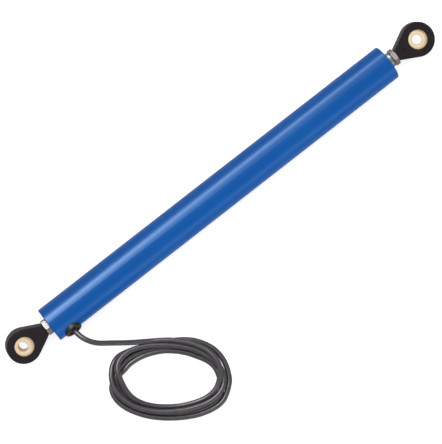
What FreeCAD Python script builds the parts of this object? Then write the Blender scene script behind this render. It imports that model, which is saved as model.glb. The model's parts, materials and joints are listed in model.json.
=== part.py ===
import FreeCAD, Part
import math
import os

# A linear position sensor: a slim tube with a shaft that slides out of its front
# end, a self-aligning eye at each end, and a signal cable that leaves its side.
# Lengths are in millimetres and angles in degrees. The origin is the centre of the
# rear ball. +X runs along the tube to the front eye and +Z is up. The tube lies on a
# level surface, which touches its lowest line.

# Tube
tube_diameter = 19.2
tube_wall = 1.5
tube_edge_break = 0.3
bore_edge_break = 0.3
tube_radius = tube_diameter / 2
bore_radius = tube_radius - tube_wall

# Travel of the shaft, and the room left at each end of it
stroke = 150.0
end_play = 0.5

# Rod ends, the same at both ends
eye_radius = 9.1
eye_width = 6.0
eye_to_shoulder = 13.75
neck_width = 6.0
shank_end_diameter = 7.2
shank_blend_length = 3.0
eye_rim_rounding = 0.5
seat_edge_break = 0.15
gate_mark_diameter = 1.5
gate_mark_depth = 0.3
gate_mark_from_eye = 8.9
stud_length = 11.0
stud_tip_chamfer = 0.6

# Balls in the rod ends
ball_diameter = 11.6
ball_width = 8.0
ball_clearance = 0.06
pin_bore_diameter = 5.0
pin_bore_chamfer = 0.4

# Threads are plain cylinders of their outer diameter
thread_diameter = 5.0
thread_clearance = 0.03

# Thin locknuts
nut_across_flats = 8.0
nut_thickness = 2.7
nut_chamfer_angle = 30.0
nut_face_share = 0.97

# Turns about the tube's axis, from upright towards the side where the cable leaves
rear_eye_turn = 24.0
rear_ball_turn = 13.0
front_eye_turn = 15.0
front_ball_turn = 6.0
outlet_turn = 76.0
rear_nut_turn = 17.0
front_nut_turn = 31.0

# Leans of the balls in their eyes, of the bore's upper end towards the rear
rear_ball_lean = 9.0
front_ball_lean = 10.0

# Caps, and the retaining rings that hold them in the tube
cap_clearance = 0.05
cap_edge_break = 0.4
rim_recess = 0.9
ring_thickness = 1.0
ring_groove_depth = 0.5
ring_groove_play = 0.05
ring_band = 1.5
ring_gap = 0.625 * bore_radius
ring_lug_radius = 0.13 * bore_radius
ring_lug_hole_radius = 0.055 * bore_radius
ring_lug_clearance = 0.15

# Seals round the caps, drawn as squeezed in their grooves
seal_groove_width = 1.9
seal_groove_depth = 1.1
seal_side_play = 0.2
seal_corner = 0.3
seal_gap = 0.02

# Rear cap, with the chamber where the cable comes in
rear_cap_length = 13.1
rear_boss_clearance = 0.35
stud_hole_depth = 9.3
rear_seal_from_front = 1.65
outlet_from_rear_end = 8.4
outlet_hole_diameter = 6.5
chamber_diameter = 7.0
chamber_floor_radius = 0.4875 * bore_radius
channel_width = 3.4

# Cable, its grommet and its clamp
cable_diameter = 2.8
cable_clearance = 0.03
grommet_flange_diameter = 9.5
grommet_flange_height = 1.1
grommet_lip_rounding = 0.5
grommet_recess_diameter = 6.0
grommet_recess_depth = 0.5
grommet_neck_clearance = 0.05
clamp_diameter = 5.0
clamp_length = 1.4
clamp_from_jacket_end = 0.15
clamp_gap = 0.1

# Wires from the cable to the resistive strip
wire_diameter = 0.8
wire_spacing = 0.9
wire_bend_radius = 1.0
wire_count = 3
solder_gap = 0.05

# Resistive strip in its carrier
strip_width = 0.9875 * bore_radius
strip_base_height = 0.95
strip_top_radius = 0.65 * bore_radius
track_height = 0.05
track_width = 0.225 * bore_radius
track_offset = 0.225 * bore_radius
pad_length = 2.7
pad_width = 0.7
pad_to_track = 0.9
strip_end_gap = 0.3
strip_side_gap = 0.05
rail_top_radius = 0.45 * bore_radius

# Wiper carriage, which slides in the tube and is kept from turning by the rails
carriage_length = 12.0
carriage_clearance = 0.2
rail_clearance = 0.3
tongue_width = 0.925 * bore_radius
tongue_reach = 0.575 * bore_radius
terminal_length = 5.7
spring_thickness = 0.25
spring_width = 0.75 * bore_radius
spring_plate_length = 6.5
spring_plate_from_rear = 1.0
finger_length = 3.6
finger_width = 0.175 * bore_radius
finger_lift = 0.08
finger_bend_share = 0.75

# Swivel of the shaft in the carriage
spigot_diameter = 0.5 * bore_radius
spigot_clearance = 0.05
running_gap = 0.05
washer_thickness = 0.5
washer_diameter = 0.95 * bore_radius
clip_thickness = 0.6
clip_diameter = 0.825 * bore_radius
clip_groove_diameter = 0.4 * bore_radius
clip_opening = 0.325 * bore_radius
spigot_tail = 0.45

# Shaft
shaft_diameter = bore_radius
shaft_reach = 2.9
shaft_edge_break = 0.5
shaft_thread_depth = 12.0
drill_tip_angle = 118.0

# Front cap, with the bush and scraper that the shaft runs in
cap_inner_lip = 3.4
cap_inner_lip_clearance = 0.4
bush_length = 23.0
bush_wall = 1.0
bush_clearance = 0.04
scraper_length = 6.0
scraper_proud = 0.5
scraper_lip_length = 1.5
scraper_relief = 0.6
front_seal_from_front = 8.0
seat_gap = 0.02

# Rubber buffers at the ends of the travel
rear_buffer_diameter = bore_radius
rear_buffer_seat = 1.0
front_buffer_length = 2.5
front_buffer_diameter = 1.625 * bore_radius
front_buffer_clearance = 0.4

# Cable outside the tube: the corners of its route from the grommet to the coil
lead_first_run = 6.3
lead_corners = [
    (26.2, -17.2, 4.2),
    (29.6, -22.4, 3.6),
    (35.4, -26.4, 1.2),
    (43.2, -31.9, -3.2),
    (51.7, -37.3, -5.85),
]
arc_share_of_run = 0.45

# Cable coil, drawn as the ring that its turns fill
coil_centre_x = 48.4
coil_centre_y = -59.1
coil_turn = -38.1
coil_half_length = 31.7
coil_half_width = 21.5
coil_end_radius = 16.5
coil_band = 8.0
coil_layers = 2
coil_edge_chamfer = 1.0

# Worked out from the values above
ORIGIN = FreeCAD.Vector(0, 0, 0)
X_AXIS = FreeCAD.Vector(1, 0, 0)
Y_AXIS = FreeCAD.Vector(0, 1, 0)
Z_AXIS = FreeCAD.Vector(0, 0, 1)
cap_radius = bore_radius - cap_clearance
thread_radius = thread_diameter / 2
stud_radius = thread_radius - thread_clearance
shaft_radius = shaft_diameter / 2
spigot_radius = spigot_diameter / 2
cable_radius = cable_diameter / 2
floor_height = -tube_radius
seal_groove_radius = cap_radius - seal_groove_depth
strip_floor_radius = strip_top_radius + track_height + strip_base_height
ring_outer_radius = bore_radius + ring_groove_depth - ring_groove_play
ring_lug_middle = ring_outer_radius - ring_groove_depth - ring_lug_radius
ring_lug_inner = ring_lug_middle - ring_lug_radius
scraper_radius = ring_lug_inner - ring_lug_clearance

tube_rear = eye_to_shoulder + nut_thickness
outlet_x = tube_rear + outlet_from_rear_end
rear_ring_x = tube_rear + rim_recess
rear_cap_rear = rear_ring_x + ring_thickness
rear_cap_front = rear_cap_rear + rear_cap_length
carriage_rear = rear_cap_front + terminal_length
carriage_front = carriage_rear + carriage_length
clip_x = carriage_rear - running_gap - clip_thickness
spigot_end = clip_x - spigot_tail
washer_x = carriage_front + running_gap
shaft_shoulder = washer_x + washer_thickness
front_buffer_x = carriage_front + stroke + end_play
front_cap_rear = front_buffer_x + front_buffer_length
front_cap_length = cap_inner_lip + bush_length + scraper_length
front_cap_front = front_cap_rear + front_cap_length
front_ring_x = front_cap_front
tube_front = front_ring_x + ring_thickness + rim_recess
shaft_front = tube_front + shaft_reach
front_shoulder = shaft_front + nut_thickness
front_eye_x = front_shoulder + eye_to_shoulder


def bar(x_start, x_end, radius):
    """A round bar on the tube's axis."""
    return Part.makeCylinder(radius, x_end - x_start, FreeCAD.Vector(x_start, 0, 0), X_AXIS)


def block(x_start, x_end, y_start, y_end, z_start, z_end):
    """A block between two corners."""
    corner = FreeCAD.Vector(x_start, y_start, z_start)
    return Part.makeBox(x_end - x_start, y_end - y_start, z_end - z_start, corner)


def level_edges(shape):
    """The edges that lie at one height."""
    return [edge for edge in shape.Edges if edge.BoundBox.ZLength < 1e-6]


def turned(profile):
    """A solid turned about the tube's axis from corners (x, radius)."""
    corners = [FreeCAD.Vector(x, 0, radius) for x, radius in profile]
    face = Part.Face(Part.makePolygon(corners + corners[:1]))
    return face.revolve(ORIGIN, X_AXIS, 360)


def rolled(shape, angle):
    """The shape turned about the tube's axis, from upright towards the cable's side."""
    return shape.rotated(ORIGIN, X_AXIS, angle)


def to_outlet(shape):
    """A shape drawn with the cable outlet straight down, turned to where the outlet is."""
    return rolled(shape, outlet_turn - 180)


def post(x, radius, near, far):
    """A round post that points straight down, between two distances from the axis."""
    return Part.makeCylinder(radius, far - near, FreeCAD.Vector(x, 0, -near), -Z_AXIS)


def groove_corners(x_start, x_end, surface_radius, floor_radius):
    """Profile corners of a groove, in the order that x grows."""
    return [
        (x_start, surface_radius),
        (x_start, floor_radius),
        (x_end, floor_radius),
        (x_end, surface_radius),
    ]


def ring_groove(ring_x):
    """Profile corners of a retaining ring's groove in the tube's bore."""
    return groove_corners(
        ring_x - ring_groove_play,
        ring_x + ring_thickness + ring_groove_play,
        bore_radius,
        bore_radius + ring_groove_depth,
    )


def housing_tube():
    outside = [
        (tube_front, bore_radius + bore_edge_break),
        (tube_front, tube_radius - tube_edge_break),
        (tube_front - tube_edge_break, tube_radius),
        (tube_rear + tube_edge_break, tube_radius),
        (tube_rear, tube_radius - tube_edge_break),
        (tube_rear, bore_radius + bore_edge_break),
    ]
    inside = [(tube_rear + bore_edge_break, bore_radius)]
    inside += ring_groove(rear_ring_x)
    inside += ring_groove(front_ring_x)
    inside += [(tube_front - bore_edge_break, bore_radius)]
    outlet = post(outlet_x, outlet_hole_diameter / 2, chamber_floor_radius, tube_diameter)
    return turned(outside + inside).cut(to_outlet(outlet))


def rod_end():
    """A moulded rod end with its eye centred on the origin and its stud along +X."""
    half_neck = neck_width / 2
    reach = math.hypot(eye_to_shoulder, half_neck)
    flank = math.atan2(half_neck, eye_to_shoulder) + math.acos(eye_radius / reach)
    touch_x = eye_radius * math.cos(flank)
    touch_y = eye_radius * math.sin(flank)
    low = -eye_width / 2
    neck_left = FreeCAD.Vector(eye_to_shoulder, half_neck, low)
    neck_right = FreeCAD.Vector(eye_to_shoulder, -half_neck, low)
    touch_left = FreeCAD.Vector(touch_x, touch_y, low)
    touch_right = FreeCAD.Vector(touch_x, -touch_y, low)
    crown = FreeCAD.Vector(-eye_radius, 0, low)
    outline = [
        Part.LineSegment(neck_right, neck_left),
        Part.LineSegment(neck_left, touch_left),
        Part.Arc(touch_left, crown, touch_right),
        Part.LineSegment(touch_right, neck_right),
    ]
    wire = Part.Wire([edge.toShape() for edge in outline])
    head = Part.Face(wire).extrude(FreeCAD.Vector(0, 0, eye_width))
    head = head.makeFillet(eye_rim_rounding, level_edges(head))
    shank_radius = shank_end_diameter / 2
    clear_radius = eye_radius + eye_to_shoulder
    shank = turned([
        (-clear_radius, 0),
        (-clear_radius, clear_radius),
        (eye_to_shoulder - shank_blend_length, clear_radius),
        (eye_to_shoulder - shank_blend_length, shank_radius + shank_blend_length),
        (eye_to_shoulder, shank_radius),
        (eye_to_shoulder, 0),
    ])
    stud_end = eye_to_shoulder + stud_length
    stud = turned([
        (eye_to_shoulder - shank_blend_length, 0),
        (eye_to_shoulder - shank_blend_length, stud_radius),
        (stud_end - stud_tip_chamfer, stud_radius),
        (stud_end, stud_radius - stud_tip_chamfer),
        (stud_end, 0),
    ])
    seat_radius = ball_diameter / 2 + ball_clearance
    body = head.common(shank).fuse(stud).cut(Part.makeSphere(seat_radius))
    mouth_radius = math.sqrt(seat_radius ** 2 - (eye_width / 2) ** 2)
    for side in (Z_AXIS, -Z_AXIS):
        edge_break = Part.makeCone(
            mouth_radius,
            mouth_radius + seat_edge_break,
            seat_edge_break,
            side * (eye_width / 2 - seat_edge_break),
            side,
        )
        body = body.cut(edge_break)
    gate_mark = Part.makeCylinder(
        gate_mark_diameter / 2,
        gate_mark_depth,
        FreeCAD.Vector(gate_mark_from_eye, 0, eye_width / 2 - gate_mark_depth),
        Z_AXIS,
    )
    return body.cut(gate_mark).removeSplitter()


def rear_rod_end():
    mark_below = rod_end().rotated(ORIGIN, X_AXIS, 180)
    return rolled(mark_below, rear_eye_turn)


def front_rod_end():
    facing_back = rod_end().rotated(ORIGIN, Z_AXIS, 180)
    return rolled(facing_back, front_eye_turn).translated(X_AXIS * front_eye_x)


def ball():
    """A ball with flat ends and a bore for a pin, on the origin with its bore upright."""
    half = ball_width / 2
    flat_radius = math.sqrt((ball_diameter / 2) ** 2 - half ** 2)
    slab = Part.makeCylinder(ball_diameter / 2, ball_width, Z_AXIS * -half, Z_AXIS)
    solid = Part.makeSphere(ball_diameter / 2).common(slab)
    pin_radius = pin_bore_diameter / 2
    bore = Part.makeCylinder(pin_radius, ball_diameter, Z_AXIS * (-ball_diameter / 2), Z_AXIS)
    solid = solid.cut(bore)
    chamfer = min(pin_bore_chamfer, (flat_radius - pin_radius) / 2)
    for side in (Z_AXIS, -Z_AXIS):
        cone = Part.makeCone(pin_radius, pin_radius + chamfer, chamfer, side * (half - chamfer), side)
        solid = solid.cut(cone)
    return solid


def rear_ball():
    return rolled(ball().rotated(ORIGIN, Y_AXIS, -rear_ball_lean), rear_ball_turn)


def front_ball():
    leaning = ball().rotated(ORIGIN, Y_AXIS, -front_ball_lean)
    return rolled(leaning, front_ball_turn).translated(X_AXIS * front_eye_x)


def locknut(x_start, turn):
    """A thin hexagon nut, chamfered on both faces, with one corner upright before its turn."""
    corner_radius = nut_across_flats / math.sqrt(3)
    corners = []
    for index in range(6):
        angle = math.radians(60 * index)
        side = corner_radius * math.sin(angle)
        height = corner_radius * math.cos(angle)
        corners.append(FreeCAD.Vector(x_start, side, height))
    hexagon = Part.Face(Part.makePolygon(corners + corners[:1]))
    prism = hexagon.extrude(X_AXIS * nut_thickness)
    face_radius = nut_face_share * nut_across_flats / 2
    chamfer = (corner_radius - face_radius) * math.tan(math.radians(nut_chamfer_angle))
    x_end = x_start + nut_thickness
    crown = turned([
        (x_start, 0),
        (x_start, face_radius),
        (x_start + chamfer, corner_radius),
        (x_end - chamfer, corner_radius),
        (x_end, face_radius),
        (x_end, 0),
    ])
    return rolled(prism.common(crown).cut(bar(x_start, x_end, thread_radius)), turn)


def retaining_ring(x_start):
    """An open ring that springs into a groove of the bore, with a drilled lug at each end."""
    x_end = x_start + ring_thickness
    band = bar(x_start, x_end, ring_outer_radius)
    band = band.cut(bar(x_start, x_end, ring_outer_radius - ring_band))
    band = band.cut(block(x_start, x_end, -ring_gap / 2, ring_gap / 2, 0, tube_diameter))
    lug_offset = ring_gap / 2 + ring_lug_radius - ring_groove_play
    lug_height = math.sqrt(ring_lug_middle ** 2 - lug_offset ** 2)
    for side in (-lug_offset, lug_offset):
        place = FreeCAD.Vector(x_start, side, lug_height)
        band = band.fuse(Part.makeCylinder(ring_lug_radius, ring_thickness, place, X_AXIS))
        band = band.cut(Part.makeCylinder(ring_lug_hole_radius, ring_thickness, place, X_AXIS))
    return band.removeSplitter()


def cap_seal(x_centre):
    """A sealing ring squeezed between a cap's groove and the tube's bore."""
    half = seal_groove_width / 2 - seal_side_play
    inner = seal_groove_radius + seal_gap
    outer = bore_radius - seal_gap
    return turned([
        (x_centre - half, inner + seal_corner),
        (x_centre - half, outer - seal_corner),
        (x_centre - half + seal_corner, outer),
        (x_centre + half - seal_corner, outer),
        (x_centre + half, outer - seal_corner),
        (x_centre + half, inner + seal_corner),
        (x_centre + half - seal_corner, inner),
        (x_centre - half + seal_corner, inner),
    ])


def seal_groove(x_centre):
    """Profile corners of the seal's groove round a cap, in the order that x grows."""
    half = seal_groove_width / 2
    return groove_corners(x_centre - half, x_centre + half, cap_radius, seal_groove_radius)


rear_seal_x = rear_cap_front - rear_seal_from_front
front_seal_x = front_cap_front - front_seal_from_front


def rear_cap():
    boss_radius = ring_lug_inner - rear_boss_clearance
    buffer_seat = rear_cap_front - rear_buffer_seat
    buffer_radius = rear_buffer_diameter / 2 + seat_gap
    body = turned(
        [(tube_rear, 0), (tube_rear, boss_radius), (rear_cap_rear, boss_radius)]
        + [(rear_cap_rear, cap_radius)]
        + seal_groove(rear_seal_x)
        + [(rear_cap_front - cap_edge_break, cap_radius)]
        + [(rear_cap_front, cap_radius - cap_edge_break)]
        + [(rear_cap_front, buffer_radius), (buffer_seat, buffer_radius), (buffer_seat, 0)]
    )
    body = body.cut(bar(tube_rear, tube_rear + stud_hole_depth, thread_radius))
    chamber = post(outlet_x, chamber_diameter / 2, chamber_floor_radius, tube_diameter)
    channel = block(
        outlet_x,
        rear_cap_front,
        -channel_width / 2,
        channel_width / 2,
        -strip_floor_radius,
        -chamber_floor_radius,
    )
    return body.cut(to_outlet(chamber.fuse(channel)))


jacket_end = strip_top_radius - solder_gap - wire_diameter / 2 + wire_bend_radius
clamp_near = jacket_end + clamp_from_jacket_end


def cable_grommet():
    flange_top = tube_radius + grommet_flange_height
    flange = post(outlet_x, grommet_flange_diameter / 2, bore_radius, flange_top)
    outer_edge = min(level_edges(flange), key=lambda edge: edge.BoundBox.ZMax)
    flange = flange.makeFillet(grommet_lip_rounding, [outer_edge])
    saddle = bar(outlet_x - tube_diameter, outlet_x + tube_diameter, tube_radius + seat_gap)
    neck_radius = outlet_hole_diameter / 2 - grommet_neck_clearance
    neck_end = clamp_near + clamp_length + clamp_gap
    neck = post(outlet_x, neck_radius, neck_end, tube_radius + seat_gap)
    body = flange.cut(saddle).fuse(neck)
    recess_floor = flange_top - grommet_recess_depth
    body = body.cut(post(outlet_x, grommet_recess_diameter / 2, recess_floor, tube_diameter))
    bore = post(outlet_x, cable_radius + cable_clearance, 0, tube_diameter)
    return to_outlet(body.cut(bore).removeSplitter())


def cable_clamp():
    ring = post(outlet_x, clamp_diameter / 2, clamp_near, clamp_near + clamp_length)
    return to_outlet(ring.cut(post(outlet_x, cable_radius + cable_clearance, 0, tube_diameter)))


def signal_leads():
    """Wires that bend out of the cable's jacket and lie on the strip's solder pads."""
    wires = []
    bend_end_x = outlet_x + wire_bend_radius
    end_x = rear_cap_front + strip_end_gap + pad_to_track + pad_length
    for index in range(wire_count):
        side = (index - (wire_count - 1) / 2) * wire_spacing
        start = FreeCAD.Vector(outlet_x, side, -jacket_end)
        bend_centre = FreeCAD.Vector(bend_end_x, side, -jacket_end)
        bend_end = FreeCAD.Vector(bend_end_x, side, wire_bend_radius - jacket_end)
        section = Part.Face(Part.Wire(Part.makeCircle(wire_diameter / 2, start, Z_AXIS)))
        bend = section.revolve(bend_centre, Y_AXIS, 90)
        run = Part.makeCylinder(wire_diameter / 2, end_x - bend_end_x, bend_end, X_AXIS)
        wires.append(bend.fuse(run))
    return to_outlet(Part.makeCompound(wires))


strip_rear = rear_cap_front + strip_end_gap
strip_front = front_buffer_x - strip_end_gap


def track_carrier():
    """A bar that fills the bore below the strip, with a rail along each side of it."""
    pocket_half = strip_width / 2 + strip_side_gap
    body = bar(strip_rear, strip_front, cap_radius)
    body = body.cut(block(
        strip_rear, strip_front, -cap_radius, cap_radius, -rail_top_radius, cap_radius,
    ))
    pocket = block(
        strip_rear, strip_front, -pocket_half, pocket_half, -strip_floor_radius, -rail_top_radius,
    )
    return to_outlet(body.cut(pocket))


def resistive_strip():
    """The strip with its two printed tracks and its solder pads."""
    top = -(strip_top_radius + track_height)
    half = strip_width / 2
    body = block(strip_rear, strip_front, -half, half, -strip_floor_radius, top)
    pad_start = strip_rear + pad_to_track
    track_start = pad_start + pad_length + pad_to_track
    for side in (-track_offset, track_offset):
        track = block(
            track_start,
            strip_front,
            side - track_width / 2,
            side + track_width / 2,
            top,
            -strip_top_radius,
        )
        body = body.fuse(track)
    for index in range(wire_count):
        side = (index - (wire_count - 1) / 2) * wire_spacing
        pad = block(
            pad_start,
            pad_start + pad_length,
            side - pad_width / 2,
            side + pad_width / 2,
            top,
            -strip_top_radius,
        )
        body = body.fuse(pad)
    return to_outlet(body.removeSplitter())


def rear_buffer():
    seat = rear_cap_front - rear_buffer_seat
    return bar(seat, spigot_end - end_play, rear_buffer_diameter / 2)


def front_buffer():
    outer = bar(front_buffer_x, front_cap_rear, front_buffer_diameter / 2)
    return outer.cut(bar(front_buffer_x, front_cap_rear, shaft_radius + front_buffer_clearance))


def wiper_carriage():
    """A plug that slides in the bore, with a tongue between the carrier's rails."""
    radius = bore_radius - carriage_clearance
    underside = rail_top_radius - rail_clearance
    body = bar(carriage_rear, carriage_front, radius)
    body = body.cut(block(
        carriage_rear, carriage_front, -radius, radius, -radius, -underside,
    ))
    tongue = block(
        carriage_rear, carriage_front, -tongue_width / 2, tongue_width / 2, -tongue_reach, 0,
    )
    body = body.fuse(tongue)
    bore = bar(carriage_rear, carriage_front, spigot_radius + spigot_clearance)
    return to_outlet(body.cut(bore).removeSplitter())


def wiper_contacts():
    """A leaf spring under the tongue, with a bent finger over each track."""
    plate_start = carriage_rear + spring_plate_from_rear
    plate_end = plate_start + spring_plate_length
    plate_low = -(tongue_reach + spring_thickness)
    body = block(
        plate_start, plate_end, -spring_width / 2, spring_width / 2, plate_low, -tongue_reach,
    )
    tip_low = -(strip_top_radius - finger_lift)
    bend = plate_end + finger_length * finger_bend_share
    tip = plate_end + finger_length
    for side in (-track_offset, track_offset):
        start = side - finger_width / 2
        profile = [
            (plate_end - spring_thickness, -tongue_reach),
            (plate_end - spring_thickness, plate_low),
            (plate_end, plate_low),
            (bend, tip_low),
            (tip, plate_low),
            (tip, plate_low + spring_thickness),
            (bend, tip_low + spring_thickness),
            (plate_end, -tongue_reach),
        ]
        corners = [FreeCAD.Vector(x, start, z) for x, z in profile]
        finger = Part.Face(Part.makePolygon(corners + corners[:1]))
        body = body.fuse(finger.extrude(FreeCAD.Vector(0, finger_width, 0)))
    return to_outlet(body.removeSplitter())


def shaft():
    tip_depth = thread_radius / math.tan(math.radians(drill_tip_angle / 2))
    thread_end = shaft_front - shaft_thread_depth
    groove_radius = clip_groove_diameter / 2
    return turned([
        (spigot_end, 0),
        (spigot_end, spigot_radius),
        (clip_x, spigot_radius),
        (clip_x, groove_radius),
        (clip_x + clip_thickness, groove_radius),
        (clip_x + clip_thickness, spigot_radius),
        (shaft_shoulder, spigot_radius),
        (shaft_shoulder, shaft_radius),
        (shaft_front - shaft_edge_break, shaft_radius),
        (shaft_front, shaft_radius - shaft_edge_break),
        (shaft_front, thread_radius),
        (thread_end, thread_radius),
        (thread_end - tip_depth, 0),
    ])


def carriage_clip():
    """An open clip in the groove at the shaft's inner end."""
    x_end = clip_x + clip_thickness
    inner = clip_groove_diameter / 2 + seat_gap
    body = bar(clip_x, x_end, clip_diameter / 2).cut(bar(clip_x, x_end, inner))
    return body.cut(block(clip_x, x_end, -clip_opening / 2, clip_opening / 2, 0, clip_diameter))


def thrust_washer():
    body = bar(washer_x, shaft_shoulder, washer_diameter / 2)
    return body.cut(bar(washer_x, shaft_shoulder, spigot_radius + spigot_clearance))


bush_radius = shaft_radius + bush_clearance + bush_wall
bush_start = front_cap_rear + cap_inner_lip
scraper_start = bush_start + bush_length


def front_cap():
    lip_radius = shaft_radius + cap_inner_lip_clearance
    return turned(
        [(front_cap_rear, lip_radius), (front_cap_rear, cap_radius - cap_edge_break)]
        + [(front_cap_rear + cap_edge_break, cap_radius)]
        + seal_groove(front_seal_x)
        + [(front_cap_front, cap_radius), (front_cap_front, scraper_radius + seat_gap)]
        + [(scraper_start, scraper_radius + seat_gap), (scraper_start, bush_radius + seat_gap)]
        + [(bush_start, bush_radius + seat_gap), (bush_start, lip_radius)]
    )


def shaft_bush():
    body = bar(bush_start, scraper_start, bush_radius)
    return body.cut(bar(bush_start, scraper_start, shaft_radius + bush_clearance))


def shaft_scraper():
    """A ring with a lip that wipes the shaft where it leaves the cap."""
    lip_radius = shaft_radius + bush_clearance
    front = front_cap_front + scraper_proud
    return turned([
        (scraper_start, lip_radius + scraper_relief),
        (scraper_start, scraper_radius),
        (front_cap_front, scraper_radius),
        (front, scraper_radius - scraper_proud),
        (front, lip_radius),
        (front - scraper_lip_length, lip_radius),
        (front - scraper_lip_length - scraper_relief, lip_radius + scraper_relief),
    ])


def lead_points():
    """The corners of the cable's route, from its jacket's end inside the tube."""
    turn = math.radians(outlet_turn)
    outward = FreeCAD.Vector(0, -math.sin(turn), math.cos(turn))
    start = X_AXIS * outlet_x + outward * jacket_end
    first = start + outward * lead_first_run
    return [start, first] + [FreeCAD.Vector(*corner) for corner in lead_corners]


def round_run(start, end):
    """A straight run of the cable."""
    return Part.makeCylinder(cable_radius, (end - start).Length, start, end - start)


def cable_lead():
    """A round tube along straight runs joined by arcs that touch them."""
    points = lead_points()
    solids = []
    at = points[0]
    length = 0
    for before, corner, after in zip(points, points[1:], points[2:]):
        to_before = before - corner
        to_after = after - corner
        turn = math.pi - to_before.getAngle(to_after)
        cut = arc_share_of_run * min(to_before.Length, to_after.Length)
        radius = cut / math.tan(turn / 2)
        print("cable arc radius %.1f mm, turn %.0f degrees" % (radius, math.degrees(turn)))
        arc_start = corner + to_before.normalize() * cut
        arc_end = corner + to_after.normalize() * cut
        inward = (to_before + to_after).normalize()
        arc_centre = corner + inward * (radius / math.cos(turn / 2))
        solids.append(round_run(at, arc_start))
        section = Part.Face(Part.Wire(Part.makeCircle(cable_radius, arc_start, to_before)))
        solids.append(section.revolve(arc_centre, to_after.cross(to_before), math.degrees(turn)))
        length += (arc_start - at).Length + radius * turn
        at = arc_end
    solids.append(round_run(at, points[-1]))
    length += (points[-1] - at).Length
    tube = solids[0].multiFuse(solids[1:])
    share = tube.Volume / (math.pi * cable_radius ** 2 * length)
    print("cable length %.1f mm, volume %.4f of section by length" % (length, share))
    return tube


def oval(half_length, half_width, end_radius):
    """A closed wire of four arcs that touch: two round the ends and two along the sides."""
    end_x = half_length - end_radius
    side_radius = (end_x ** 2 + half_width ** 2 - end_radius ** 2) / (2 * (half_width - end_radius))
    side_drop = side_radius - half_width
    share = side_radius / math.hypot(end_x, side_drop)
    touch_x = end_x * share
    touch_y = side_drop * share - side_drop
    corners = [(-1, 1), (1, 1), (1, -1), (-1, -1)]
    touches = [FreeCAD.Vector(touch_x * x, touch_y * y, 0) for x, y in corners]
    middles = [
        FreeCAD.Vector(0, half_width, 0),
        FreeCAD.Vector(half_length, 0, 0),
        FreeCAD.Vector(0, -half_width, 0),
        FreeCAD.Vector(-half_length, 0, 0),
    ]
    arcs = []
    for index, middle in enumerate(middles):
        arcs.append(Part.Arc(touches[index], middle, touches[(index + 1) % 4]).toShape())
    return Part.Wire(arcs)


def cable_coil():
    """The oval ring that the coil's turns fill, lying on the surface."""
    height = coil_layers * cable_diameter
    solids = []
    for inset in (0, coil_band):
        outline = oval(coil_half_length - inset, coil_half_width - inset, coil_end_radius - inset)
        solids.append(Part.Face(outline).extrude(Z_AXIS * height))
    ring = solids[0].cut(solids[1])
    ring = ring.makeChamfer(coil_edge_chamfer, level_edges(ring))
    ring = ring.rotated(ORIGIN, Z_AXIS, coil_turn)
    return ring.translated(FreeCAD.Vector(coil_centre_x, coil_centre_y, floor_height))


pieces = {
    "housing_tube": housing_tube(),
    "rear_cap": rear_cap(),
    "rear_cap_seal": cap_seal(rear_seal_x),
    "rear_retaining_ring": retaining_ring(rear_ring_x),
    "rear_rod_end": rear_rod_end(),
    "rear_locknut": locknut(eye_to_shoulder, rear_nut_turn),
    "rear_ball": rear_ball(),
    "cable_grommet": cable_grommet(),
    "cable_clamp": cable_clamp(),
    "cable_lead": cable_lead(),
    "cable_coil": cable_coil(),
    "signal_leads": signal_leads(),
    "track_carrier": track_carrier(),
    "resistive_strip": resistive_strip(),
    "rear_buffer": rear_buffer(),
    "front_buffer": front_buffer(),
    "front_cap": front_cap(),
    "front_cap_seal": cap_seal(front_seal_x),
    "front_retaining_ring": retaining_ring(front_ring_x),
    "shaft_bush": shaft_bush(),
    "shaft_scraper": shaft_scraper(),
    "wiper_carriage": wiper_carriage(),
    "wiper_contacts": wiper_contacts(),
    "shaft": shaft(),
    "carriage_clip": carriage_clip(),
    "thrust_washer": thrust_washer(),
    "front_locknut": locknut(shaft_front, front_nut_turn),
    "front_rod_end": front_rod_end(),
    "front_ball": front_ball(),
}

os.makedirs("parts", exist_ok=True)
for name, shape in pieces.items():
    shape.exportStep(os.path.join("parts", name + ".step"))
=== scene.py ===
import json
import math

import bpy
from mathutils import Matrix, Vector


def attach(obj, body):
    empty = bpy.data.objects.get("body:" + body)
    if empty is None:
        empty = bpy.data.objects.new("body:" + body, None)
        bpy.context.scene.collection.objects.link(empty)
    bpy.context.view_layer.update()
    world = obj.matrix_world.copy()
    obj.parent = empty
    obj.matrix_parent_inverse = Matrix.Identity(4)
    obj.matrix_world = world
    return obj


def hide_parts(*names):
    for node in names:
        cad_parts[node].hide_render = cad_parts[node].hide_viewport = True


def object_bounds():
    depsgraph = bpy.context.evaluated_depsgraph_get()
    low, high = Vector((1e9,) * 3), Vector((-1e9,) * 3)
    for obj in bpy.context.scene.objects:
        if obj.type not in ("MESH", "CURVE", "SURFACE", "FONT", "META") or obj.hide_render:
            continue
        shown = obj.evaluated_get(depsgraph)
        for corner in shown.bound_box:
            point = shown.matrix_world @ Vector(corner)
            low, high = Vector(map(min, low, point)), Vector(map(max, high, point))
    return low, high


# Looks of the linear position sensor. Lengths are in metres, and those of the cable's
# route in millimetres. The frame is the CAD part's: +X along the tube, +Z up from the
# surface it lies on.
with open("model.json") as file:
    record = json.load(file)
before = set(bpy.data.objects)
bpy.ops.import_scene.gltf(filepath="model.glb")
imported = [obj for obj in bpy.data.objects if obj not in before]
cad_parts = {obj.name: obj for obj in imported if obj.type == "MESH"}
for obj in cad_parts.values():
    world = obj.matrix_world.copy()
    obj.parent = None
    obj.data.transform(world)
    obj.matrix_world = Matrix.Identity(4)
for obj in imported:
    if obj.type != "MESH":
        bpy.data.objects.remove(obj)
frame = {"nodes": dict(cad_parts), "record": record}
cad_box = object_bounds()
MM = 0.001

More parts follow.
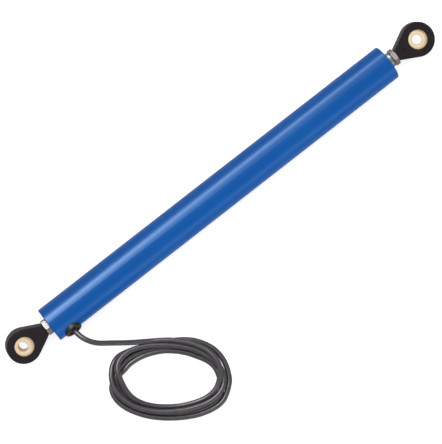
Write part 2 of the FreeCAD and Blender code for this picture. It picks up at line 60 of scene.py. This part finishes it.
# Camera: high above the part and turned, so that the tube rises to the right.
camera_lens = 213.0
camera_sensor = 36.0
camera_distance = 1.3417
camera_nearest = 0.05
camera_farthest = 20.0
camera_right = Vector((0.78605, -0.61816, 0.0))
camera_up = Vector((0.61289, 0.77932, 0.1305))
aim_point = Vector((117.87, -12.32, 0.0)) * MM


def add_camera():
    """The camera, from its right and up directions and the point it looks at."""
    data = bpy.data.cameras.new("photo_camera")
    data.lens = camera_lens
    data.sensor_width = camera_sensor
    data.clip_start = camera_nearest
    data.clip_end = camera_farthest
    camera = bpy.data.objects.new("photo_camera", data)
    right = camera_right.normalized()
    up = (camera_up - right * camera_up.dot(right)).normalized()
    back = right.cross(up)
    place = aim_point + back * camera_distance
    rotation = Matrix((right, up, back)).transposed().to_4x4()
    camera.matrix_world = Matrix.Translation(place) @ rotation
    bpy.context.scene.collection.objects.link(camera)
    bpy.context.scene.camera = camera


# Cable: the free stretch as in the part's source, in millimetres, then the coil's turns.
cable_diameter = 2.8
outlet_x = 24.85
outlet_turn = 76.0
jacket_end = 5.815
lead_first_run = 6.3
lead_corners = [
    (26.2, -17.2, 4.2),
    (29.6, -22.4, 3.6),
    (35.4, -26.4, 1.2),
    (43.2, -31.9, -3.2),
    (51.7, -37.3, -5.85),
]
surface_height = -9.6
coil_centre = Vector((48.4, -58.85))
coil_turn = -38.1
coil_half_length = 30.3
coil_half_width = 20.1
coil_squareness = 2.35
coil_points_per_turn = 36
curve_steps = 6
round_steps = 5

# How the turns lie: degrees along the coil from its top, how far inside
# the coil's oval in millimetres, and the height above the lowest layer in cable
# diameters.
coil_lay = [
    (-8, 0.5, 0.9),
    (0, 0.5, 1.0),
    (10, 0.9, 1.0),
    (20, 1.3, 1.1),
    (30, 1.8, 1.2),
    (42, 2.5, 1.4),
    (55, 3.2, 1.6),
    (68, 4.0, 1.6),
    (95, 5.4, 1.1),
    (120, 6.2, 0.8),
    (140, 6.6, 0.3),
    (155, 6.5, 0.1),
    (175, 5.8, 0.0),
    (195, 5.6, 0.1),
    (210, 5.6, 0.3),
    (226, 5.9, 0.7),
    (243, 6.3, 1.2),
    (255, 6.0, 1.6),
    (265, 5.4, 1.8),
    (277, 3.8, 1.9),
    (290, 2.2, 1.8),
    (305, 1.7, 1.5),
    (318, 1.7, 1.2),
    (335, 2.5, 1.0),
    (360, 3.2, 0.9),
    (385, 4.0, 0.8),
    (408, 4.9, 0.8),
    (420, 4.4, 0.7),
    (432, 3.6, 0.7),
    (445, 3.0, 0.7),
    (460, 2.7, 0.7),
    (475, 3.2, 0.9),
    (490, 3.8, 1.0),
    (510, 4.0, 1.0),
    (530, 3.4, 1.0),
    (550, 2.9, 1.0),
    (578, 2.8, 1.0),
    (592, 2.5, 1.0),
    (604, 1.9, 1.0),
    (616, 1.2, 1.0),
    (628, 0.4, 1.0),
    (640, 0.1, 0.9),
    (655, -0.3, 0.6),
    (664, -0.1, 0.3),
    (674, 1.2, 0.0),
    (685, 2.0, 0.0),
    (700, 2.2, 0.0),
    (714, 1.2, 0.0),
    (728, 0.0, 0.0),
    (742, -0.6, 0.0),
    (760, -0.3, 0.0),
    (780, 0.6, 0.0),
    (797, 0.7, 0.0),
    (812, 0.0, 0.0),
    (828, 0.4, 0.0),
    (842, -0.3, 0.0),
    (860, 0.1, 0.0),
    (880, 0.2, 0.0),
    (905, 0.0, 0.0),
    (935, 0.3, 0.0),
    (965, -0.5, 0.0),
    (978, -0.3, 0.0),
    (988, 1.3, 0.0),
    (1000, 5.0, 0.0),
    (1012, 6.4, 0.0),
    (1032, 6.9, 0.0),
    (1050, 6.5, 0.0),
    (1075, 5.6, 0.0),
    (1095, 6.1, 0.0),
    (1115, 7.0, 0.0),
    (1140, 6.3, 0.0),
    (1163, 5.6, 0.0),
    (1180, 4.1, 0.0),
    (1193, 2.6, 0.0),
    (1207, 2.3, 0.0),
    (1230, 2.5, 0.0),
    (1250, 2.4, 0.0),
    (1270, 2.4, 0.0),
    (1290, 2.9, 0.0),
    (1310, 3.5, 0.0),
    (1325, 3.7, 0.0),
    (1340, 3.4, 0.5),
    (1352, 2.7, 0.8),
    (1362, 2.6, 0.7),
    (1374, 4.0, 0.4),
    (1386, 4.2, 0.2),
    (1410, 4.3, 0.0),
    (1428, 4.3, 0.0),
    (1446, 4.2, 0.0),
]


def from_outlet(reach):
    """A place on the line along which the cable leaves, that far from the tube's axis."""
    turn = math.radians(outlet_turn)
    outward = Vector((0.0, -math.sin(turn), math.cos(turn)))
    return Vector((outlet_x, 0.0, 0.0)) + outward * reach


def lead_route():
    """The free stretch, from inside the housing to the coil."""
    straight = [from_outlet(jacket_end), from_outlet(jacket_end + lead_first_run)]
    return straight + [Vector(corner) for corner in lead_corners]


def lay_at(degrees):
    """How far inside and how high the coil's cable lies, at that angle along it."""
    for (low, inset_a, layer_a), (high, inset_b, layer_b) in zip(coil_lay, coil_lay[1:]):
        if degrees <= high:
            share = max(0.0, (degrees - low) / (high - low))
            return inset_a + (inset_b - inset_a) * share, layer_a + (layer_b - layer_a) * share
    return coil_lay[-1][1:]


def coil_route():
    """The turns, on a squarish oval whose size changes with the lay."""
    points = []
    step = 360.0 / coil_points_per_turn
    count = int((coil_lay[-1][0] - coil_lay[0][0]) / step) + 1
    turn = Matrix.Rotation(math.radians(coil_turn), 2)
    for index in range(count):
        degrees = coil_lay[0][0] + step * index
        inset, layer = lay_at(degrees)
        angle = math.radians(degrees)
        across = math.sin(angle)
        along = math.cos(angle)
        spread = abs(across) ** coil_squareness + abs(along) ** coil_squareness
        fullness = spread ** (-1 / coil_squareness)
        flat = Vector((
            (coil_half_length - inset) * across * fullness,
            (coil_half_width - inset) * along * fullness,
        ))
        flat = coil_centre + turn @ flat
        height = surface_height + cable_diameter * (0.5 + layer)
        points.append(Vector((flat.x, flat.y, height)))
    return points


def signal_cable(jacket):
    """The whole cable as one round curve, in place of the CAD's lead and coil."""
    points = lead_route() + coil_route()
    curve = bpy.data.curves.new("signal_cable", "CURVE")
    curve.dimensions = "3D"
    spline = curve.splines.new("NURBS")
    spline.points.add(len(points) - 1)
    for point, place in zip(spline.points, points):
        point.co = (*(place * MM), 1.0)
    spline.order_u = 3
    spline.use_endpoint_u = True
    spline.resolution_u = curve_steps
    curve.bevel_depth = cable_diameter / 2 * MM
    curve.bevel_resolution = round_steps
    curve.use_fill_caps = True
    cable = bpy.data.objects.new("signal_cable", curve)
    bpy.context.scene.collection.objects.link(cable)
    curve.materials.append(jacket)
    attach(cable, "housing")
    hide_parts("cable_lead", "cable_coil")


# Materials
even = (1.0, 1.0, 1.0)
ramp_start = 0.3
ramp_end = 0.7


def new_material(name, colour, roughness, metallic=0.0):
    """A Principled material and its nodes, by name."""
    material = bpy.data.materials.new(name)
    material.use_nodes = True
    nodes = material.node_tree.nodes
    shader = nodes["Principled BSDF"]
    shader.inputs["Base Color"].default_value = (*colour, 1.0)
    shader.inputs["Roughness"].default_value = roughness
    shader.inputs["Metallic"].default_value = metallic
    return material, nodes, material.node_tree.links, shader


def object_noise(nodes, links, scale, detail=3.0, stretch=even):
    """Noise in object space, stretched along the axes."""
    place = nodes.new("ShaderNodeTexCoord")
    mapping = nodes.new("ShaderNodeMapping")
    mapping.inputs["Scale"].default_value = stretch
    noise = nodes.new("ShaderNodeTexNoise")
    noise.inputs["Scale"].default_value = scale
    noise.inputs["Detail"].default_value = detail
    links.new(place.outputs["Object"], mapping.inputs["Vector"])
    links.new(mapping.outputs["Vector"], noise.inputs["Vector"])
    return noise


def vary_colour(nodes, links, shader, noise, dark, light):
    """Lets the noise move the colour between a dark and a light one."""
    ramp = nodes.new("ShaderNodeValToRGB")
    ramp.color_ramp.elements[0].position = ramp_start
    ramp.color_ramp.elements[0].color = (*dark, 1.0)
    ramp.color_ramp.elements[1].position = ramp_end
    ramp.color_ramp.elements[1].color = (*light, 1.0)
    links.new(noise.outputs["Fac"], ramp.inputs["Fac"])
    links.new(ramp.outputs["Color"], shader.inputs["Base Color"])


def vary_roughness(nodes, links, shader, noise, low, high):
    """Lets the noise move the roughness between two values."""
    span = nodes.new("ShaderNodeMapRange")
    span.inputs["To Min"].default_value = low
    span.inputs["To Max"].default_value = high
    links.new(noise.outputs["Fac"], span.inputs["Value"])
    links.new(span.outputs["Result"], shader.inputs["Roughness"])


def add_bump(nodes, links, shader, noise, strength, depth):
    """Fine relief from the noise, its depth in metres."""
    bump = nodes.new("ShaderNodeBump")
    bump.inputs["Strength"].default_value = strength
    bump.inputs["Distance"].default_value = depth
    links.new(noise.outputs["Fac"], bump.inputs["Height"])
    links.new(bump.outputs["Normal"], shader.inputs["Normal"])


def blue_tube():
    """Satin anodised aluminium with the fine lines of drawn tube."""
    colour = (0.002, 0.094, 0.39)
    material, nodes, links, shader = new_material("blue_tube", colour, roughness=0.37, metallic=0.03)
    shader.inputs["Specular IOR Level"].default_value = 0.15
    shader.inputs["Specular Tint"].default_value = (0.82, 1.0, 0.84, 1.0)
    tone = object_noise(nodes, links, scale=60, detail=2.0, stretch=(0.3, 1.0, 1.0))
    vary_colour(nodes, links, shader, tone, (0.001, 0.088, 0.375), (0.003, 0.1, 0.405))
    lines = object_noise(nodes, links, scale=900, detail=4.0, stretch=(0.01, 1.0, 1.0))
    vary_roughness(nodes, links, shader, lines, low=0.3, high=0.38)
    add_bump(nodes, links, shader, lines, strength=0.15, depth=0.00002)
    return material


def moulded(name, dark, light, roughness, shine=0.5):
    """Moulded plastic with a fine grain."""
    material, nodes, links, shader = new_material(name, light, roughness)
    shader.inputs["Specular IOR Level"].default_value = shine
    tone = object_noise(nodes, links, scale=180, detail=3.0)
    vary_colour(nodes, links, shader, tone, dark, light)
    fine = object_noise(nodes, links, scale=2600, detail=2.0)
    vary_roughness(nodes, links, shader, fine, low=roughness - 0.06, high=roughness + 0.08)
    add_bump(nodes, links, shader, fine, strength=0.35, depth=0.00003)
    return material


def ball_plastic():
    """Tan bearing plastic, with a painted shade that makes it warmer and darker where it turns away from
    the camera.
    """
    material, nodes, links, shader = new_material("ball_plastic", (0.88, 0.71, 0.48), roughness=0.34)
    tone = object_noise(nodes, links, scale=260, detail=3.0)
    vary_colour(nodes, links, shader, tone, (0.84, 0.66, 0.42), (0.91, 0.76, 0.55))
    ramp = shader.inputs["Base Color"].links[0].from_node
    # Painted shade: Layer Weight's Facing mixes a darker copper into the base colour towards the balls'
    # edges as seen from the camera.
    painted_edge_shade = nodes.new("ShaderNodeLayerWeight")
    painted_edge_shade.inputs["Blend"].default_value = 0.35
    painted_shade_mix = nodes.new("ShaderNodeMix")
    painted_shade_mix.data_type = "RGBA"
    painted_shade_mix.inputs["B"].default_value = (0.7, 0.34, 0.14, 1.0)
    links.new(painted_edge_shade.outputs["Facing"], painted_shade_mix.inputs["Factor"])
    links.new(ramp.outputs["Color"], painted_shade_mix.inputs["A"])
    links.new(painted_shade_mix.outputs["Result"], shader.inputs["Base Color"])
    return material


def worked_metal(name, dark, light, roughness, scale, stretch=even):
    """Metal with the lines that turning, drawing or grinding leaves."""
    material, nodes, links, shader = new_material(name, light, roughness, metallic=1.0)
    lines = object_noise(nodes, links, scale, detail=4.0, stretch=stretch)
    vary_colour(nodes, links, shader, lines, dark, light)
    vary_roughness(nodes, links, shader, lines, low=roughness - 0.06, high=roughness + 0.1)
    add_bump(nodes, links, shader, lines, strength=0.2, depth=0.00002)
    return material


def rubber(name, dark, light, roughness, shine=0.5):
    """Rubber or soft jacket, slightly mottled and grained."""
    material, nodes, links, shader = new_material(name, light, roughness)
    shader.inputs["Specular IOR Level"].default_value = shine
    tone = object_noise(nodes, links, scale=400, detail=4.0)
    vary_colour(nodes, links, shader, tone, dark, light)
    fine = object_noise(nodes, links, scale=3500, detail=2.0)
    add_bump(nodes, links, shader, fine, strength=0.3, depth=0.00003)
    return material


def dress_nodes():
    """Gives each CAD node the material of its slot, and returns the materials by slot."""
    # A dark and a light colour and the roughness, then the shine of plastic and rubber,
    # or the scale and stretch of a metal's lines.
    finish = {
        "blue_tube": blue_tube(),
        "black_plastic": moulded("black_plastic", (0.014, 0.014, 0.015), (0.024, 0.024, 0.026), 0.5),
        "eye_plastic": moulded("eye_plastic", (0.005, 0.002, 0.004), (0.009, 0.005, 0.007), 0.45, 0.18),
        "seal_rubber": rubber("seal_rubber", (0.012, 0.012, 0.012), (0.02, 0.02, 0.02), 0.55),
        "grommet_rubber": rubber("grommet_rubber", (0.012, 0.008, 0.01), (0.022, 0.015, 0.018), 0.5, 0.2),
        "ball_plastic": ball_plastic(),
        "nut_steel": worked_metal(
            "nut_steel", (0.14, 0.125, 0.12), (0.21, 0.19, 0.184), 0.55, 1500),
        "bright_steel": worked_metal(
            "bright_steel", (0.55, 0.55, 0.56), (0.68, 0.68, 0.69), 0.28, 1500),
        # Painted shade: the shaft's steel is darker than bright steel, standing in for the shadow and
        # dark reflections on it.
        "shaft_steel": worked_metal(
            "shaft_steel", (0.12, 0.13, 0.123), (0.19, 0.2, 0.193), 0.42, 1800, (0.05, 1.0, 1.0)),
        "bush_bronze": worked_metal(
            "bush_bronze", (0.45, 0.3, 0.14), (0.58, 0.4, 0.2), 0.35, 1500, (1.0, 0.2, 0.2)),
        "contact_brass": worked_metal(
            "contact_brass", (0.7, 0.53, 0.24), (0.8, 0.63, 0.3), 0.28, 1500, (0.1, 1.0, 1.0)),
        "carriage_plastic": moulded("carriage_plastic", (0.7, 0.69, 0.65), (0.78, 0.77, 0.73), 0.4),
        "wire_sleeve": moulded("wire_sleeve", (0.4, 0.04, 0.03), (0.5, 0.06, 0.045), 0.4),
        "strip_board": moulded("strip_board", (0.03, 0.16, 0.07), (0.06, 0.22, 0.1), 0.35),
        "cable_jacket": rubber("cable_jacket", (0.043, 0.037, 0.043), (0.063, 0.055, 0.062), 0.36, 0.35),
    }
    for part in frame["record"]["subparts"]:
        node = frame["nodes"][part["node"]]
        node.data.materials.clear()
        node.data.materials.append(finish[part["material_slot"]])
    return finish


# Room: a pale floor that keeps the object's shadow, a world and soft lamps.
floor_size = 12.0
floor_gap = 0.00005
floor_seen_glow = 0.66
floor_reflected_glow = 0.2
world_light = 0.4
world_seen = 1.0
white = (1.0, 1.0, 1.0, 1.0)


def reflected_rays(nodes, links):
    """Light Path, and 1 for the glossy and transmission rays that show the background."""
    path = nodes.new("ShaderNodeLightPath")
    either = nodes.new("ShaderNodeMath")
    either.operation = "MAXIMUM"
    links.new(path.outputs["Is Glossy Ray"], either.inputs[0])
    links.new(path.outputs["Is Transmission Ray"], either.inputs[1])
    return path, either


def floor_material():
    """Pale floor that shows white behind the part and darkens only where shaded."""
    material, nodes, links, shader = new_material("floor", (0.8, 0.8, 0.8), roughness=0.9)
    shader.inputs["Specular IOR Level"].default_value = 0.0
    path, reflected = reflected_rays(nodes, links)
    lift = nodes.new("ShaderNodeMath")
    lift.operation = "MULTIPLY"
    lift.inputs[1].default_value = floor_reflected_glow
    links.new(reflected.outputs["Value"], lift.inputs[0])
    strength = nodes.new("ShaderNodeMath")
    strength.operation = "MULTIPLY_ADD"
    strength.inputs[1].default_value = floor_seen_glow
    links.new(path.outputs["Is Camera Ray"], strength.inputs[0])
    links.new(lift.outputs["Value"], strength.inputs[2])
    shader.inputs["Emission Color"].default_value = white
    links.new(strength.outputs["Value"], shader.inputs["Emission Strength"])
    return material


def add_floor():
    """A wide floor a hair below the part's lowest point."""
    lowest = cad_box[0].z
    bpy.ops.mesh.primitive_plane_add(size=floor_size, location=(0, 0, lowest - floor_gap))
    floor = bpy.context.object
    floor.name = "floor"
    floor.data.materials.append(floor_material())


def add_world():
    """White where it is seen or reflected, and a weaker light on the part."""
    world = bpy.data.worlds.new("studio")
    world.use_nodes = True
    nodes = world.node_tree.nodes
    links = world.node_tree.links
    background = nodes["Background"]
    background.inputs["Color"].default_value = white
    span = nodes.new("ShaderNodeMapRange")
    span.inputs["To Min"].default_value = world_light
    span.inputs["To Max"].default_value = world_seen
    path, reflected = reflected_rays(nodes, links)
    seen = nodes.new("ShaderNodeMath")
    seen.operation = "MAXIMUM"
    links.new(path.outputs["Is Camera Ray"], seen.inputs[0])
    links.new(reflected.outputs["Value"], seen.inputs[1])
    links.new(seen.outputs["Value"], span.inputs["Value"])
    links.new(span.outputs["Result"], background.inputs["Strength"])
    bpy.context.scene.world = world


def add_lamp(name, place, aim, size, power, lights=True, shines=True):
    """An area lamp, which may only light surfaces or only shine in them."""
    data = bpy.data.lights.new(name, "AREA")
    data.shape = "RECTANGLE"
    data.size = size[0]
    data.size_y = size[1]
    data.energy = power
    lamp = bpy.data.objects.new(name, data)
    lamp.location = place
    lamp.rotation_euler = (Vector(aim) - Vector(place)).to_track_quat("-Z", "Y").to_euler()
    lamp.visible_diffuse = lights
    lamp.visible_glossy = shines
    bpy.context.scene.collection.objects.link(lamp)


def add_lamps():
    """Two lamps that draw the light streak on the tube, and two that light the part."""
    middle = (0.12, -0.02, 0.0)
    past_front = (0.7, 0.0, 0.02)
    add_lamp("streak_lamp", (0.2, 0.62, 0.64), past_front, (0.7, 0.12), 13.0, lights=False)
    add_lamp("rear_streak_lamp", (-0.03, 0.37, 0.72), middle, (0.28, 0.26), 7.5, lights=False)
    add_lamp("top_lamp", (0.12, 0.3, 0.95), middle, (0.9, 0.9), 5.2, shines=False)
    add_lamp("side_lamp", (0.12, -0.8, 0.25), middle, (0.8, 0.3), 2.6)


add_camera()
materials = dress_nodes()
signal_cable(materials["cable_jacket"])
add_floor()
add_world()
add_lamps()

bpy.context.scene.view_settings.view_transform = "Standard"
